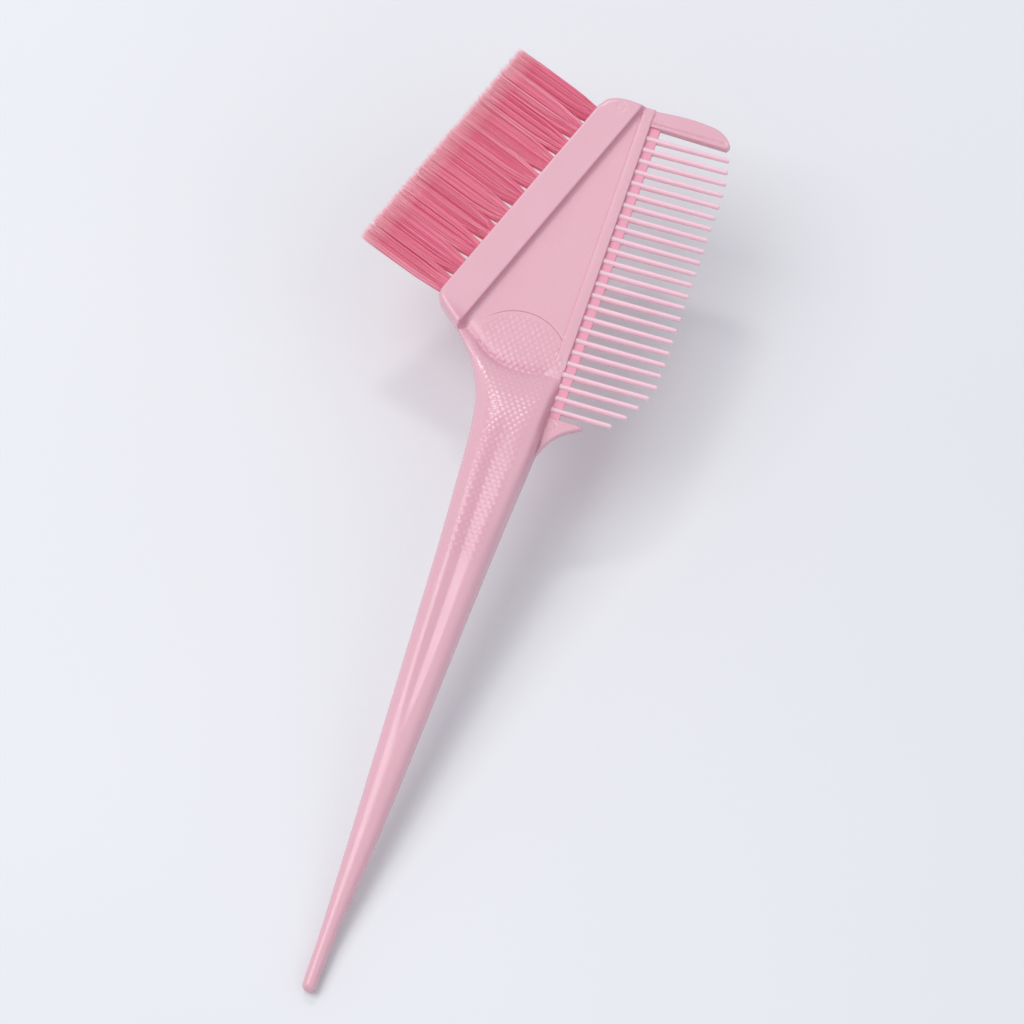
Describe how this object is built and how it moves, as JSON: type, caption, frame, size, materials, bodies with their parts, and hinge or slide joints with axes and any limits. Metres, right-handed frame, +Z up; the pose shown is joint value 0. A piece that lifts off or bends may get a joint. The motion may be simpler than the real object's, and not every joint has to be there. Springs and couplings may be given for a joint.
{
  "type": "hair tint brush with comb",
  "caption": "Hair tint brush: tapered handle with thumb rest, angled row of bristle tufts on one side of the head and a fine comb on the other.",
  "frame": {"origin": "centre of the bounding box in plan, on the plane the brush rests on", "axes": "+Z up out of the front face, +Y along the handle from tail to head, +X towards the comb, -X towards the bristles"},
  "size_m": [0.0749, 0.22, 0.0089],
  "materials": {
    "pink_plastic": "satin",
    "tooth_plastic": "satin",
    "bristle_nylon": "satin",
    "anchor_wire": "satin"
  },
  "bodies": {
    "handle": {"handle_body": "pink_plastic", "comb_teeth": "tooth_plastic", "tuft_root_01": "bristle_nylon", "tuft_root_02": "bristle_nylon", "tuft_root_03": "bristle_nylon", "tuft_root_04": "bristle_nylon", "tuft_root_05": "bristle_nylon", "tuft_root_06": "bristle_nylon", "tuft_root_07": "bristle_nylon", "tuft_root_08": "bristle_nylon", "tuft_root_09": "bristle_nylon", "tuft_root_10": "bristle_nylon", "tuft_root_11": "bristle_nylon", "anchor_01": "anchor_wire", "anchor_02": "anchor_wire", "anchor_03": "anchor_wire", "anchor_04": "anchor_wire", "anchor_05": "anchor_wire", "anchor_06": "anchor_wire", "anchor_07": "anchor_wire", "anchor_08": "anchor_wire", "anchor_09": "anchor_wire", "anchor_10": "anchor_wire", "anchor_11": "anchor_wire"},
    "tuft_01": {"bristles_01": "bristle_nylon"},
    "tuft_02": {"bristles_02": "bristle_nylon"},
    "tuft_03": {"bristles_03": "bristle_nylon"},
    "tuft_04": {"bristles_04": "bristle_nylon"},
    "tuft_05": {"bristles_05": "bristle_nylon"},
    "tuft_06": {"bristles_06": "bristle_nylon"},
    "tuft_07": {"bristles_07": "bristle_nylon"},
    "tuft_08": {"bristles_08": "bristle_nylon"},
    "tuft_09": {"bristles_09": "bristle_nylon"},
    "tuft_10": {"bristles_10": "bristle_nylon"},
    "tuft_11": {"bristles_11": "bristle_nylon"}
  },
  "joints": [
    {"name": "tuft_01_flex", "type": "hinge", "parent": "handle", "child": "tuft_01", "pos_m": [-0.01645, 0.05051, 0.0032], "axis": [0.3412, 0.94, 0], "range_deg": [-30, 30], "stiffness_Nm_per_rad": 0.004},
    {"name": "tuft_02_flex", "type": "hinge", "parent": "handle", "child": "tuft_02", "pos_m": [-0.01465, 0.05549, 0.0032], "axis": [0.3412, 0.94, 0], "range_deg": [-30, 30], "stiffness_Nm_per_rad": 0.004},
    {"name": "tuft_03_flex", "type": "hinge", "parent": "handle", "child": "tuft_03", "pos_m": [-0.01284, 0.06047, 0.0032], "axis": [0.3412, 0.94, 0], "range_deg": [-30, 30], "stiffness_Nm_per_rad": 0.004},
    {"name": "tuft_04_flex", "type": "hinge", "parent": "handle", "child": "tuft_04", "pos_m": [-0.01103, 0.06545, 0.0032], "axis": [0.3412, 0.94, 0], "range_deg": [-30, 30], "stiffness_Nm_per_rad": 0.004},
    {"name": "tuft_05_flex", "type": "hinge", "parent": "handle", "child": "tuft_05", "pos_m": [-0.00922, 0.07043, 0.0032], "axis": [0.3412, 0.94, 0], "range_deg": [-30, 30], "stiffness_Nm_per_rad": 0.004},
    {"name": "tuft_06_flex", "type": "hinge", "parent": "handle", "child": "tuft_06", "pos_m": [-0.00741, 0.07542, 0.0032], "axis": [0.3412, 0.94, 0], "range_deg": [-30, 30], "stiffness_Nm_per_rad": 0.004},
    {"name": "tuft_07_flex", "type": "hinge", "parent": "handle", "child": "tuft_07", "pos_m": [-0.0056, 0.0804, 0.0032], "axis": [0.3412, 0.94, 0], "range_deg": [-30, 30], "stiffness_Nm_per_rad": 0.004},
    {"name": "tuft_08_flex", "type": "hinge", "parent": "handle", "child": "tuft_08", "pos_m": [-0.0038, 0.08538, 0.0032], "axis": [0.3412, 0.94, 0], "range_deg": [-30, 30], "stiffness_Nm_per_rad": 0.004},
    {"name": "tuft_09_flex", "type": "hinge", "parent": "handle", "child": "tuft_09", "pos_m": [-0.00199, 0.09036, 0.0032], "axis": [0.3412, 0.94, 0], "range_deg": [-30, 30], "stiffness_Nm_per_rad": 0.004},
    {"name": "tuft_10_flex", "type": "hinge", "parent": "handle", "child": "tuft_10", "pos_m": [-0.00018, 0.09534, 0.0032], "axis": [0.3412, 0.94, 0], "range_deg": [-30, 30], "stiffness_Nm_per_rad": 0.004},
    {"name": "tuft_11_flex", "type": "hinge", "parent": "handle", "child": "tuft_11", "pos_m": [0.00163, 0.10033, 0.0032], "axis": [0.3412, 0.94, 0], "range_deg": [-30, 30], "stiffness_Nm_per_rad": 0.004}
  ]
}
